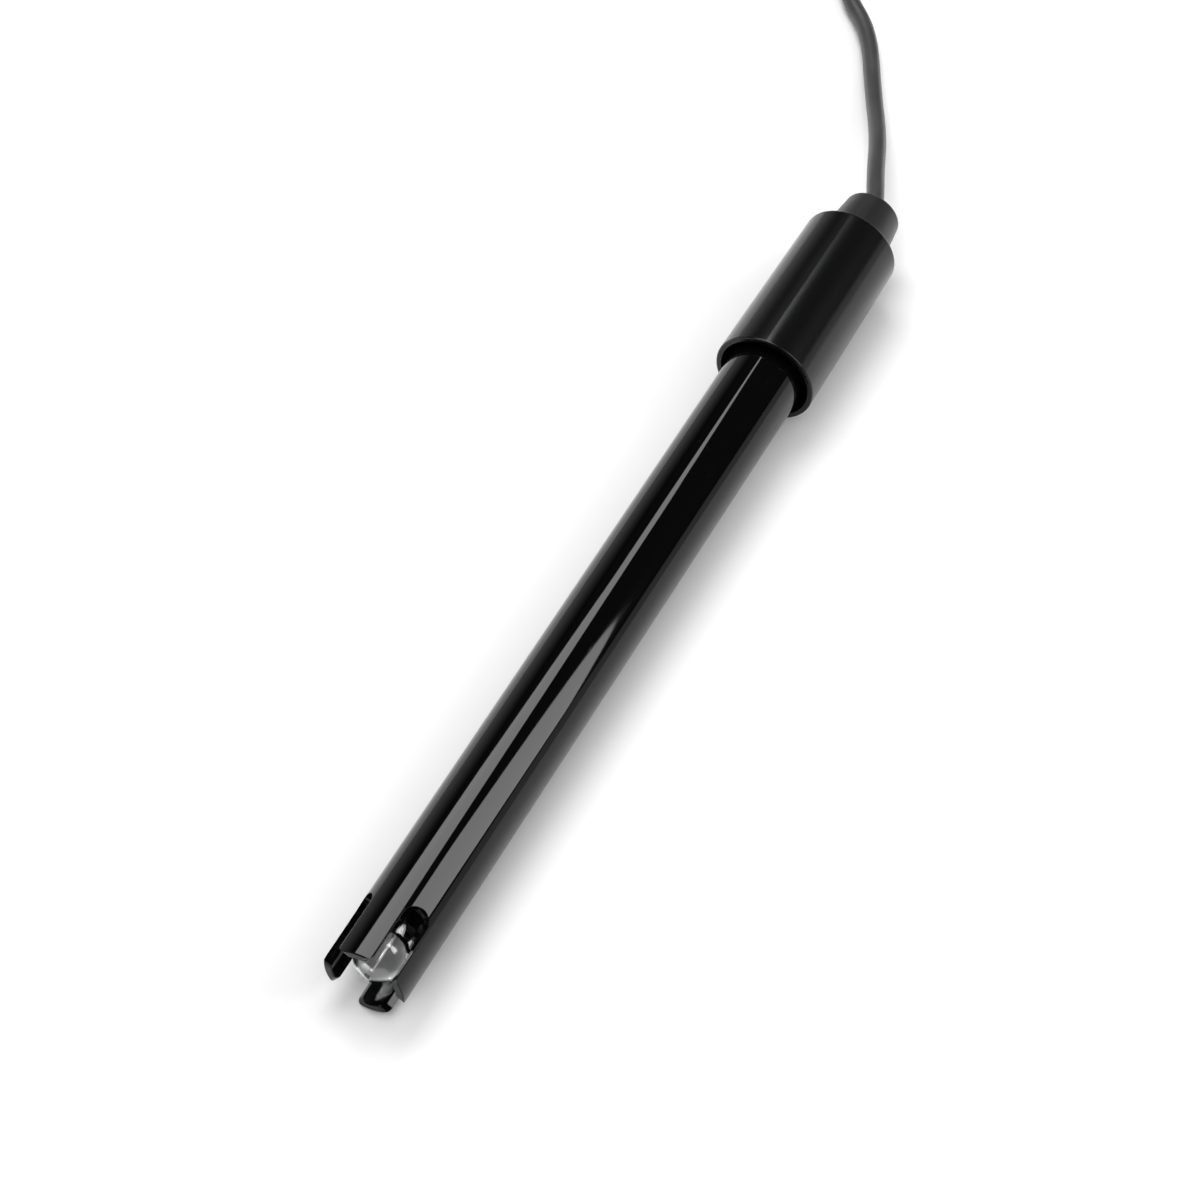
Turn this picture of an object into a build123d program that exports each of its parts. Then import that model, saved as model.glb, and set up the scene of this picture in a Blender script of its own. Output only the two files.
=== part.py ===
from build123d import *
import os
from math import asin, cos, degrees, hypot, pi, radians, sin, tan

# Combination pH electrode, 12 mm x 150 mm, lying on a table. Millimetres, +Z up.
# The electrode lies along X with its bulb towards -X. Its cap is wider than its tube,
# so it rests on the rim of the cap and on the end of one guard prong, slightly tilted.
# Stations along the electrode are counted from the ends of the guard prongs, and
# stations along the plug from the front edge of its coupling nut.

# Fits
FIT = 0.03  # radial gap between pieces fitted or glued into one another
SEAT = 0.05  # axial gap between pieces that seat on one another

# Body tube and its slotted bulb guard
TUBE_OD = 12.0
TUBE_WALL = 1.2
TUBE_EDGE = 0.15
TUBE_BEVEL = 0.3  # down to the spigot that is glued into the cap
EXPOSED_LENGTH = 120.0
SLOT_COUNT = 4
SLOT_WIDTH = 4.0
SLOT_DEPTH = 10.7
SLOT_TURN = 33.6  # degrees from straight up towards -Y to the first slot
PRONG_CORNER = 1.0

# Glass electrode: the blown bulb and its stem
BULB_OD = 7.5
BULB_WALL = 0.35
BULB_SETBACK = 0.95  # from the prong ends back to the crown of the bulb
STEM_OD = 5.8
STEM_WALL = 0.7
STEM_BELOW_TUBE_TOP = 5.0
NECK_BLEND = 0.8

# Inside the stem
BUFFER_HEADSPACE = 29.0  # from the buffer's level to the top of the stem
WIRE_OD = 0.4
WIRE_START = 2.6  # inside the bulb
WIRE_PROUD = 2.0  # of the potting, for both silver wires
WIRE_SLEEVE_OD = 1.2
WIRE_SLEEVE_BELOW_STOPPER = 6.0
WIRE_SLEEVE_PROUD = 0.6  # of the potting
STOPPER_LENGTH = 5.0
STOPPER_HEAD = 1.5

# Between stem and tube
SEAL_SETBACK = 0.8  # from the slot ends to the face of the seal
SEAL_LENGTH = 5.0
JUNCTION_OD = 1.1
JUNCTION_PROUD = 0.2
REFERENCE_TURN = 212.0  # degrees from straight up towards -Y, for junction and wire
REFERENCE_OD = 0.5
REFERENCE_START = 24.0
BUSH_BELOW_STEM_TOP = 4.0
BUSH_LENGTH = 5.0

# Cap
CAP_LENGTH = 30.2
CAP_RIM_OD = 15.75
CAP_END_OD = 15.0
CAP_RIM_EDGE = 0.2
CAP_END_EDGE = 0.5
SKIRT_WALL = 0.85
SKIRT_DEPTH = 8.0
CHAMBER_OD = 10.7
CHAMBER_LENGTH = 13.2  # from the top of the tube to the end wall
CAP_END_WALL = 3.0
POTTING_RISE = 5.0  # above the top of the tube

# Cable and strain relief
CABLE_OD = 2.8
CORE_OD = 1.5
CONDUCTOR_OD = 0.5
RELIEF_LENGTH = 8.0
RELIEF_ROOT_OD = 10.6
RELIEF_END_OD = 8.9
RELIEF_EDGE = 0.5
RELIEF_NECK_OD = 7.4
RELIEF_FLANGE_OD = 10.2
RELIEF_FLANGE = 1.2
BELL_DEPTH = 3.1
BELL_OD = 4.4
JACKET_PROUD = 0.8  # of the relief's flange, inside the cap
EXIT_RUN = 4.2  # first run of the free cable, along the axis of the electrode
ENTRY_RUN = 6.3  # last run of its tail, along the axis of the plug
CORE_PROUD = 2.0  # of the jacket
CORE_SLEEVE_WALL = 0.32
CORE_SLEEVE_LAP = 0.6
SHIELD_OD = 0.9
SHIELD_BEND = 0.5
SHIELD_SLEEVE_WALL = 0.3
SHIELD_SLEEVE_LENGTH = 2.8

# Put-away coil of the cable
COIL_RADIUS = 16.8  # to the middle of its turns
COIL_LAYERS = 3  # turns beside each other, and on each other
COIL_EDGE = 1.3
TIE_WIDTH = 3.6
TIE_WALL = 0.7
TIE_GAP = 0.12
TIE_TURN = 215.0  # degrees from +X, round the coil
TIE_HEAD = 4.6
TIE_HEAD_HEIGHT = 1.9
TIE_TAIL = 4.0

# Coaxial bayonet plug
PLUG_HEADING = -13.0  # degrees from +X to the way that the plug points
PIN_OD = 1.36
PIN_START = 1.95
PIN_NOSE = 0.5
PIN_SHANK_OD = 1.8
PIN_SHANK_START = 7.5
PIN_COLLAR_OD = 2.2
PIN_COLLAR_START = 8.5
PIN_END = 15.0
FINGER_OD = 8.1
FINGER_WALL = 0.45
FINGER_START = 1.8
FINGER_COUNT = 4
FINGER_TURN = 45.0
FINGER_GAP = 0.5
FINGER_DEPTH = 4.6
INSULATOR_OD = 6.6
INSULATOR_START = 7.6
INSULATOR_END = 14.5
FLANGE_START = 8.05
FLANGE_END = 9.6
NECK_OD = 8.6
COLLAR_START = 14.8
COLLAR_END = 17.0
COLLAR_OD = 10.4
COLLAR_EDGE = 0.3
CRIMP_OD = 4.4
CRIMP_BORE = 2.4
CRIMP_END = 23.5
GASKET_SEAT_OD = 8.5
GASKET_SEAT_START = 7.2
GASKET_START = 7.3
GASKET_GAP = 0.1
NUT_LENGTH = 14.2
NUT_FRONT_OD = 13.2
NUT_FRONT_LENGTH = 5.8
NUT_FRONT_EDGE = 0.3
NUT_GRIP_OD = 14.6
NUT_GRIP_EDGE = 0.4
NUT_MOUTH = 9.8
NUT_BORE = 12.0
NUT_SHOULDER = 8.0
NUT_RUNNING_GAP = 0.05
GROOVE_COUNT = 36
GROOVE_OD = 0.8
RAMP_COUNT = 2
RAMP_WIDTH = 2.3
RAMP_ENTRY = 2.2
RAMP_RISE = 2.4
RAMP_SWEEP = 78.0
RAMP_END_OD = 2.6
WAVE_WIDTH = 1.3
WAVE_THICKNESS = 0.25
WAVE_COUNT = 3
WAVE_POINTS = 8  # curve points for each wave
WAVE_HEIGHT = 1.25
THRUST_THICKNESS = 0.4
RING_THICKNESS = 0.8
RING_WIDTH = 1.3
RING_BITE = 0.4  # how far the ring stands into the groove of the nut
RING_GAP = 24.0  # degrees
FERRULE_OD = 6.0
FERRULE_FLATS = 5.6
FERRULE_PLAIN = 1.4
FERRULE_END = 26.0
BOOT_START = 17.2
BOOT_END = 40.0
BOOT_FRONT_OD = 9.4
BOOT_TAIL_OD = 5.4
BOOT_STRAIGHT = 8.0
RIB_COUNT = 5
RIB_PITCH = 2.3
RIB_GAP = 1.1
RIB_DEPTH = 0.6

# Stations and radii worked out along the electrode
TUBE_R = TUBE_OD / 2
TUBE_BORE_R = TUBE_R - TUBE_WALL
CAP_END = EXPOSED_LENGTH + CAP_LENGTH
CHAMBER_END = CAP_END - CAP_END_WALL
TUBE_TOP = CHAMBER_END - CHAMBER_LENGTH
SKIRT_FLOOR = EXPOSED_LENGTH + SKIRT_DEPTH
SPIGOT_R = TUBE_R - TUBE_BEVEL
CHAMBER_R = CHAMBER_OD / 2
STEM_TOP = TUBE_TOP - STEM_BELOW_TUBE_TOP
STEM_R = STEM_OD / 2
STEM_BORE_R = STEM_R - STEM_WALL
BULB_R = BULB_OD / 2
BULB_CENTRE = BULB_SETBACK + BULB_R
WIRE_R = WIRE_OD / 2
WIRE_SLEEVE_R = WIRE_SLEEVE_OD / 2
SEAL_START = SLOT_DEPTH + SEAL_SETBACK
SEAL_END = SEAL_START + SEAL_LENGTH
BUSH_END = STEM_TOP - BUSH_BELOW_STEM_TOP
BUSH_START = BUSH_END - BUSH_LENGTH
STOPPER_START = STEM_TOP - STOPPER_LENGTH
STOPPER_TOP = STEM_TOP + SEAT + STOPPER_HEAD
POTTING_END = TUBE_TOP + POTTING_RISE
BUFFER_LEVEL = STEM_TOP - BUFFER_HEADSPACE
WIRE_END = POTTING_END + WIRE_PROUD
WIRE_SLEEVE_START = STOPPER_START - WIRE_SLEEVE_BELOW_STOPPER
WIRE_SLEEVE_END = POTTING_END + WIRE_SLEEVE_PROUD
REFERENCE_R = (STEM_R + TUBE_BORE_R) / 2
FLANGE_FACE = CHAMBER_END - SEAT - RELIEF_FLANGE
JACKET_END = FLANGE_FACE - JACKET_PROUD
CORE_END = JACKET_END - CORE_PROUD
RELIEF_TOP = CAP_END + RELIEF_LENGTH
BELL_START = RELIEF_TOP - BELL_DEPTH
CABLE_R = CABLE_OD / 2
CORE_R = CORE_OD / 2

# How the electrode lies: the rim of the cap and the end of the lowest prong touch the table
RIM_RISE = CAP_RIM_OD / 2 - TUBE_R
TILT = asin(RIM_RISE / hypot(EXPOSED_LENGTH + CAP_RIM_EDGE - TUBE_EDGE, RIM_RISE))
TIP_HEIGHT = TUBE_R * cos(TILT) - TUBE_EDGE * sin(TILT)
LOW_X = (TUBE_EDGE - TUBE_R) * sin(TILT)
HIGH_X = RELIEF_TOP * cos(TILT) + (RELIEF_END_OD / 2 - RELIEF_EDGE) * sin(TILT)

# Electrode frame: z along its axis towards the cap, x upwards, y towards -Y
probe = Plane(
    origin=(-(LOW_X + HIGH_X) / 2, 0, TIP_HEIGHT),
    x_dir=(-sin(TILT), 0, cos(TILT)),
    z_dir=(cos(TILT), 0, sin(TILT)),
)

# Route of the cable from the bell mouth of the relief to its coil, chosen by hand.
# It drops on to the table and bends round to lie tangent to the outer turn.
cable_route = [
    tuple(probe.offset(BELL_START).origin),
    tuple(probe.offset(BELL_START + EXIT_RUN).origin),
    (88.6, 3.8, 7.5),
    (98.7, 7.8, 5.0),
    (110.8, 14.1, 2.2),
    (124.6, 21.1, 1.4),
    (131.4, 28.8, 1.4),
    (147.4, 34.8, 1.4),
    (160.4, 34.0, 1.4),
    (170.4, 33.0, 1.4),
]
coil_centre = Vector(170.4, 13.4, 0)
# Route of the tail, from the top of the coil down to the boot of the plug
tail_route = [
    (173.8, 32.7, 7.0),
    (182.9, 31.1, 6.6),
    (192.9, 29.2, 3.7),
    (202.4, 27.3, 1.6),
]
boot_entry = (216.8, 23.8)

# Plug frame: z from its mating front back to the cable, x upwards. The plug lies on the
# rear edge of the grip of its nut and on the tail of its boot.
LEAN = asin((NUT_GRIP_OD / 2 - BOOT_TAIL_OD / 2) / (BOOT_END - NUT_LENGTH + NUT_GRIP_EDGE))
heading = Vector(cos(radians(PLUG_HEADING)), sin(radians(PLUG_HEADING)), 0)
plug_back = -heading * cos(LEAN) - Vector(0, 0, sin(LEAN))
plug_up = Vector(0, 0, cos(LEAN)) - heading * sin(LEAN)
boot_end_centre = Vector(*boot_entry, BOOT_TAIL_OD / 2 * cos(LEAN))
plug = Plane(origin=boot_end_centre - plug_back * BOOT_END, x_dir=plug_up, z_dir=plug_back)
tail_route.append(tuple(boot_end_centre + plug_back * ENTRY_RUN))
tail_route.append(tuple(boot_end_centre))


def spindle(frame):
    """The axis of a turned piece."""
    return Axis(frame.origin, frame.z_dir)


def profile_plane(frame):
    """Half section of a turned piece: x is the station and y the radius."""
    return Plane(origin=frame.origin, x_dir=frame.z_dir, z_dir=frame.y_dir)


def side_plane(frame, turn, station=0.0):
    """Looks outwards from the axis at a turn in degrees: x is the station, y goes round."""
    outwards = frame.x_dir * cos(radians(turn)) + frame.y_dir * sin(radians(turn))
    return Plane(origin=frame.origin + frame.z_dir * station, x_dir=frame.z_dir, z_dir=outwards)


def corner_radii(points):
    """The arc at each corner of a cord's route, as large as its two runs allow."""
    radii = []
    for before, here, after in zip(points, points[1:], points[2:]):
        run_in = Vector(here) - Vector(before)
        run_out = Vector(after) - Vector(here)
        turn = radians(run_in.get_angle(run_out))
        radii.append(0.45 * min(run_in.length, run_out.length) / tan(turn / 2))
    return radii


def turned(frame, *points):
    """A turned blank from the corners of its half section, as (station, radius)."""
    with BuildPart() as blank:
        with BuildSketch(profile_plane(frame)):
            with BuildLine():
                Polyline(*points, close=True)
            make_face()
        revolve(axis=spindle(frame))
    return blank.part


def ball_and_stem(bulb_r, stem_r, top):
    """A ball on a stem, with a blended neck."""
    neck = asin(stem_r / bulb_r)
    neck_station = BULB_CENTRE + bulb_r * cos(neck)
    with BuildPart() as blank:
        with BuildSketch(profile_plane(probe)) as half:
            with BuildLine():
                CenterArc((BULB_CENTRE, 0), bulb_r, 180, degrees(neck) - 180)
                Line((neck_station, stem_r), (top, stem_r))
                Line((top, stem_r), (top, 0))
                Line((top, 0), (BULB_CENTRE - bulb_r, 0))
            make_face()
            neck_corner = half.vertices().sort_by_distance((neck_station, stem_r, 0))[0]
            fillet(neck_corner, NECK_BLEND)
        revolve(axis=spindle(probe))
    return blank.part


def finish(name, part):
    """Labels a finished piece and writes it."""
    part.label = name
    export_step(part, f"parts/{name}.step")


os.makedirs("parts", exist_ok=True)

# Body tube: one moulding, its end cut into prongs by U-ended slots, its top stepped down
# to a spigot that is glued into the cap
half_slot = SLOT_WIDTH / 2
slot_mouth = half_slot + PRONG_CORNER
with BuildPart() as body_tube:
    with BuildSketch(profile_plane(probe)):
        with BuildLine():
            Polyline(
                (TUBE_EDGE, TUBE_R),
                (SKIRT_FLOOR - TUBE_BEVEL, TUBE_R),
                (SKIRT_FLOOR, SPIGOT_R),
                (TUBE_TOP, SPIGOT_R),
                (TUBE_TOP, TUBE_BORE_R),
                (TUBE_EDGE, TUBE_BORE_R),
                (0, TUBE_BORE_R + TUBE_EDGE),
                (0, TUBE_R - TUBE_EDGE),
                close=True,
            )
        make_face()
    revolve(axis=spindle(probe))
    for slot in range(SLOT_COUNT):
        with BuildSketch(side_plane(probe, SLOT_TURN + slot * 360 / SLOT_COUNT)):
            with BuildLine():
                # The mouth of the slot flares with the rounded corners of the prongs
                Polyline(
                    (0, slot_mouth),
                    (-PRONG_CORNER, slot_mouth),
                    (-PRONG_CORNER, -slot_mouth),
                    (0, -slot_mouth),
                )
                RadiusArc((0, -slot_mouth), (PRONG_CORNER, -half_slot), PRONG_CORNER)
                Line((PRONG_CORNER, -half_slot), (SLOT_DEPTH - half_slot, -half_slot))
                CenterArc((SLOT_DEPTH - half_slot, 0), half_slot, -90, 180)
                Line((SLOT_DEPTH - half_slot, half_slot), (PRONG_CORNER, half_slot))
                RadiusArc((PRONG_CORNER, half_slot), (0, slot_mouth), PRONG_CORNER)
            make_face()
        extrude(amount=TUBE_OD, mode=Mode.SUBTRACT)
finish("body_tube", body_tube.part)

# Glass electrode: ball and stem are one blown piece with a thin wall, open at the top
glass_blank = ball_and_stem(BULB_R, STEM_R, STEM_TOP)
glass_hollow = ball_and_stem(BULB_R - BULB_WALL, STEM_BORE_R, STEM_TOP + SEAT)
with BuildPart() as glass_electrode:
    add(glass_blank)
    add(glass_hollow, mode=Mode.SUBTRACT)
finish("glass_electrode", glass_electrode.part)

# Inner buffer: fills the ball and the stem up to its level, round the inner wire
buffer_blank = ball_and_stem(BULB_R - BULB_WALL - FIT, STEM_BORE_R - FIT, BUFFER_LEVEL)
with BuildPart() as inner_buffer:
    add(buffer_blank)
    with BuildSketch(probe.offset(WIRE_START - SEAT)):
        Circle(WIRE_R + FIT)
    extrude(amount=BUFFER_LEVEL, mode=Mode.SUBTRACT)
finish("inner_buffer", inner_buffer.part)

# Inner wire: silver, down the middle of the stem
with BuildPart() as inner_wire:
    with BuildSketch(probe.offset(WIRE_START)):
        Circle(WIRE_R)
    extrude(amount=WIRE_END - WIRE_START)
finish("inner_wire", inner_wire.part)

# Wire sleeve: insulates the wire where it passes the stopper and the potting
with BuildPart() as wire_sleeve:
    with BuildSketch(probe.offset(WIRE_SLEEVE_START)):
        Circle(WIRE_SLEEVE_R)
        Circle(WIRE_R + FIT, mode=Mode.SUBTRACT)
    extrude(amount=WIRE_SLEEVE_END - WIRE_SLEEVE_START)
finish("wire_sleeve", wire_sleeve.part)

# Stem stopper: soft plug with a head that sits on the end of the stem
finish(
    "stem_stopper",
    turned(
        probe,
        (STOPPER_START, WIRE_SLEEVE_R + FIT),
        (STOPPER_START, STEM_BORE_R - FIT),
        (STEM_TOP + SEAT, STEM_BORE_R - FIT),
        (STEM_TOP + SEAT, STEM_R),
        (STOPPER_TOP, STEM_R),
        (STOPPER_TOP, WIRE_SLEEVE_R + FIT),
    ),
)

# Stem seal: closes the tube behind the guard, with a hole for the porous junction
with BuildPart() as stem_seal:
    with BuildSketch(probe.offset(SEAL_START)):
        Circle(TUBE_BORE_R - FIT)
        Circle(STEM_R + FIT, mode=Mode.SUBTRACT)
        with PolarLocations(REFERENCE_R, 1, REFERENCE_TURN):
            Circle(JUNCTION_OD / 2 + FIT, mode=Mode.SUBTRACT)
    extrude(amount=SEAL_LENGTH)
finish("stem_seal", stem_seal.part)

# Reference junction: porous ceramic pin through the seal
with BuildPart() as reference_junction:
    with BuildSketch(probe.offset(SEAL_START - JUNCTION_PROUD)):
        with PolarLocations(REFERENCE_R, 1, REFERENCE_TURN):
            Circle(JUNCTION_OD / 2)
    extrude(amount=SEAL_LENGTH + JUNCTION_PROUD)
finish("reference_junction", reference_junction.part)

# Reference gel: fills the space between stem and tube, from the seal to the bush
with BuildPart() as reference_gel:
    with BuildSketch(probe.offset(SEAL_END + SEAT)):
        Circle(TUBE_BORE_R - FIT)
        Circle(STEM_R + FIT, mode=Mode.SUBTRACT)
    extrude(amount=BUSH_START - SEAL_END - 2 * SEAT)
    with BuildSketch(probe.offset(REFERENCE_START - SEAT)):
        with PolarLocations(REFERENCE_R, 1, REFERENCE_TURN):
            Circle(REFERENCE_OD / 2 + FIT)
    extrude(amount=BUSH_START - REFERENCE_START, mode=Mode.SUBTRACT)
finish("reference_gel", reference_gel.part)

# Reference wire: silver, along the stem and up through bush and potting
with BuildPart() as reference_wire:
    with BuildSketch(probe.offset(REFERENCE_START)):
        with PolarLocations(REFERENCE_R, 1, REFERENCE_TURN):
            Circle(REFERENCE_OD / 2)
    extrude(amount=WIRE_END - REFERENCE_START)
finish("reference_wire", reference_wire.part)

# Centring bush: holds the stem in the middle of the tube
with BuildPart() as centring_bush:
    with BuildSketch(probe.offset(BUSH_START)):
        Circle(TUBE_BORE_R - FIT)
        Circle(STEM_R + FIT, mode=Mode.SUBTRACT)
        with PolarLocations(REFERENCE_R, 1, REFERENCE_TURN):
            Circle(REFERENCE_OD / 2 + FIT, mode=Mode.SUBTRACT)
    extrude(amount=BUSH_LENGTH)
finish("centring_bush", centring_bush.part)

# Cap potting: poured round the top of the stem, in the tube and in the cap's chamber
potting_blank = turned(
    probe,
    (BUSH_END + SEAT, STEM_R + FIT),
    (BUSH_END + SEAT, TUBE_BORE_R - FIT),
    (TUBE_TOP + SEAT, TUBE_BORE_R - FIT),
    (TUBE_TOP + SEAT, CHAMBER_R - FIT),
    (POTTING_END, CHAMBER_R - FIT),
    (POTTING_END, WIRE_SLEEVE_R + FIT),
    (STOPPER_TOP + SEAT, WIRE_SLEEVE_R + FIT),
    (STOPPER_TOP + SEAT, STEM_R + FIT),
)
with BuildPart() as cap_potting:
    add(potting_blank)
    with BuildSketch(probe.offset(BUSH_END)):
        with PolarLocations(REFERENCE_R, 1, REFERENCE_TURN):
            Circle(REFERENCE_OD / 2 + FIT)
    extrude(amount=CAP_LENGTH, mode=Mode.SUBTRACT)
finish("cap_potting", cap_potting.part)

# Cap: tapered moulding with an open skirt, a bore glued to the tube, a chamber and an end wall
with BuildPart() as cap:
    with BuildSketch(profile_plane(probe)) as half:
        with BuildLine():
            Polyline(
                (EXPOSED_LENGTH, CAP_RIM_OD / 2),
                (CAP_END, CAP_END_OD / 2),
                (CAP_END, RELIEF_NECK_OD / 2 + FIT),
                (CHAMBER_END, RELIEF_NECK_OD / 2 + FIT),
                (CHAMBER_END, CHAMBER_R),
                (TUBE_TOP + SEAT, CHAMBER_R),
                (TUBE_TOP + SEAT, SPIGOT_R + FIT),
                (SKIRT_FLOOR + SEAT, SPIGOT_R + FIT),
                (SKIRT_FLOOR + SEAT, CAP_RIM_OD / 2 - SKIRT_WALL),
                (EXPOSED_LENGTH, CAP_RIM_OD / 2 - SKIRT_WALL),
                close=True,
            )
        make_face()
        rim = half.vertices().sort_by_distance((EXPOSED_LENGTH, CAP_RIM_OD / 2, 0))[0]
        fillet(rim, CAP_RIM_EDGE)
        end = half.vertices().sort_by_distance((CAP_END, CAP_END_OD / 2, 0))[0]
        fillet(end, CAP_END_EDGE)
    revolve(axis=spindle(probe))
finish("cap", cap.part)

# Strain relief: rubber sleeve with a neck through the cap, a flange inside and a bell mouth
with BuildPart() as strain_relief:
    with BuildSketch(profile_plane(probe)) as half:
        with BuildLine():
            Polyline(
                (BELL_START, CABLE_R + FIT),
                (FLANGE_FACE, CABLE_R + FIT),
                (FLANGE_FACE, RELIEF_FLANGE_OD / 2),
                (CHAMBER_END - SEAT, RELIEF_FLANGE_OD / 2),
                (CHAMBER_END - SEAT, RELIEF_NECK_OD / 2),
                (CAP_END + SEAT, RELIEF_NECK_OD / 2),
                (CAP_END + SEAT, RELIEF_ROOT_OD / 2),
                (RELIEF_TOP, RELIEF_END_OD / 2),
                (RELIEF_TOP, BELL_OD / 2),
            )
            TangentArc((BELL_START, CABLE_R + FIT), (RELIEF_TOP, BELL_OD / 2), tangent=(1, 0))
        make_face()
        edge = half.vertices().sort_by_distance((RELIEF_TOP, RELIEF_END_OD / 2, 0))[0]
        fillet(edge, RELIEF_EDGE)
    revolve(axis=spindle(probe))
finish("strain_relief", strain_relief.part)

# Inner end of the cable: its jacket, held in the relief
with BuildPart() as cable_inner_end:
    with BuildSketch(probe.offset(JACKET_END)):
        Circle(CABLE_R)
    extrude(amount=BELL_START - JACKET_END)
finish("cable_inner_end", cable_inner_end.part)

# Coaxial core: insulation and conductor, up to the end of the inner wire
with BuildPart() as coaxial_core:
    with BuildSketch(probe.offset(CORE_END)):
        Circle(CORE_R)
    extrude(amount=JACKET_END - CORE_END)
    with BuildSketch(probe.offset(WIRE_END)):
        Circle(CONDUCTOR_OD / 2)
    extrude(amount=CORE_END - WIRE_END)
finish("coaxial_core", coaxial_core.part)

# Shrink sleeve over the joint of wire and core, standing on the potting
core_sleeve_bore = CORE_R + FIT
with BuildPart() as core_joint_sleeve:
    with BuildSketch(probe.offset(POTTING_END)):
        Circle(core_sleeve_bore + CORE_SLEEVE_WALL)
        Circle(core_sleeve_bore, mode=Mode.SUBTRACT)
    extrude(amount=CORE_END + CORE_SLEEVE_LAP - POTTING_END)
finish("core_joint_sleeve", core_joint_sleeve.part)

# Shield tail: the twisted braid, from the jacket over to the reference wire
shield_plane = profile_plane(
    Plane(origin=probe.origin, x_dir=side_plane(probe, REFERENCE_TURN).z_dir, z_dir=probe.z_dir)
)
shield_inner_r = CORE_R + SHIELD_OD / 2 + FIT
shield_drop = CORE_END + CORE_SLEEVE_LAP + SHIELD_OD / 2
with BuildPart() as shield_tail:
    with BuildLine(shield_plane) as path:
        FilletPolyline(
            (JACKET_END, shield_inner_r),
            (shield_drop, shield_inner_r),
            (WIRE_END + SHIELD_SLEEVE_LENGTH / 2, REFERENCE_R),
            (WIRE_END, REFERENCE_R),
            radius=SHIELD_BEND,
        )
    with BuildSketch(Plane(origin=path.line @ 0, z_dir=path.line % 0)):
        Circle(SHIELD_OD / 2)
    sweep(path=path.line)
finish("shield_tail", shield_tail.part)

# Shrink sleeve over the joint of shield tail and reference wire
shield_sleeve_bore = SHIELD_OD / 2 + FIT
with BuildPart() as shield_joint_sleeve:
    with BuildSketch(probe.offset(POTTING_END)):
        with PolarLocations(REFERENCE_R, 1, REFERENCE_TURN):
            Circle(shield_sleeve_bore + SHIELD_SLEEVE_WALL)
            Circle(shield_sleeve_bore, mode=Mode.SUBTRACT)
    extrude(amount=SHIELD_SLEEVE_LENGTH)
finish("shield_joint_sleeve", shield_joint_sleeve.part)

# Free cable, from the relief to the coil, and its tail from the coil to the plug
for name, route in (("cable", cable_route), ("cable_tail", tail_route)):
    radii = corner_radii(route)
    with BuildPart() as cord:
        with BuildLine() as path:
            FilletPolyline(*route, radius=radii)
        with BuildSketch(Plane(origin=path.line @ 0, z_dir=path.line % 0)):
            Circle(CABLE_R)
        sweep(path=path.line)
    length = sum(edge.length for edge in path.edges())
    print(name, "radii", [round(radius, 1) for radius in radii], "length", round(length, 1))
    print(name, "volume against section times length", cord.part.volume / (pi * CABLE_R**2 * length))
    finish(name, cord.part)

# Coil: the outer shape of its turns, pinched where the tie goes round
coil_size = COIL_LAYERS * CABLE_OD
coil_frame = Plane(origin=coil_centre, x_dir=(1, 0, 0), z_dir=(0, 0, 1))
tie_frame = side_plane(coil_frame, TIE_TURN)
tie_section = Plane(
    origin=tie_frame.origin + tie_frame.z_dir * COIL_RADIUS + coil_frame.z_dir * coil_size / 2,
    x_dir=tie_frame.z_dir,
    z_dir=tie_frame.z_dir.cross(coil_frame.z_dir),
)
tie_loop = coil_size - 2 * TIE_WALL
with BuildPart() as cable_coil:
    with BuildSketch(profile_plane(coil_frame)):
        with Locations((coil_size / 2, COIL_RADIUS)):
            RectangleRounded(coil_size, coil_size, COIL_EDGE)
    revolve(axis=spindle(coil_frame))
    with BuildSketch(tie_section.offset(-TIE_WIDTH / 2 - TIE_GAP)):
        Rectangle(coil_size + 2 * TIE_GAP, coil_size + 2 * TIE_GAP)
        RectangleRounded(tie_loop - 2 * TIE_GAP, tie_loop - 2 * TIE_GAP, COIL_EDGE, mode=Mode.SUBTRACT)
    extrude(amount=TIE_WIDTH + 2 * TIE_GAP, mode=Mode.SUBTRACT)
finish("cable_coil", cable_coil.part)

# Cable tie: a strap round the bundle, with its head and a short tail on top
with BuildPart() as cable_tie:
    with BuildSketch(tie_section.offset(-TIE_WIDTH / 2)):
        RectangleRounded(coil_size, coil_size, COIL_EDGE)
        RectangleRounded(tie_loop, tie_loop, COIL_EDGE - TIE_WALL / 2, mode=Mode.SUBTRACT)
    extrude(amount=TIE_WIDTH)
    with BuildSketch(tie_section.offset(-TIE_HEAD / 2)):
        with Locations((0, coil_size / 2)):
            Rectangle(TIE_HEAD, TIE_HEAD_HEIGHT, align=(Align.CENTER, Align.MIN))
    extrude(amount=TIE_HEAD)
    with BuildSketch(tie_section.offset(-TIE_WIDTH / 2)):
        with Locations((TIE_HEAD / 2, coil_size / 2 + TIE_HEAD_HEIGHT / 2)):
            Rectangle(TIE_TAIL, TIE_WALL, align=(Align.MIN, Align.CENTER))
    extrude(amount=TIE_WIDTH)
finish("cable_tie", cable_tie.part)

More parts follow.
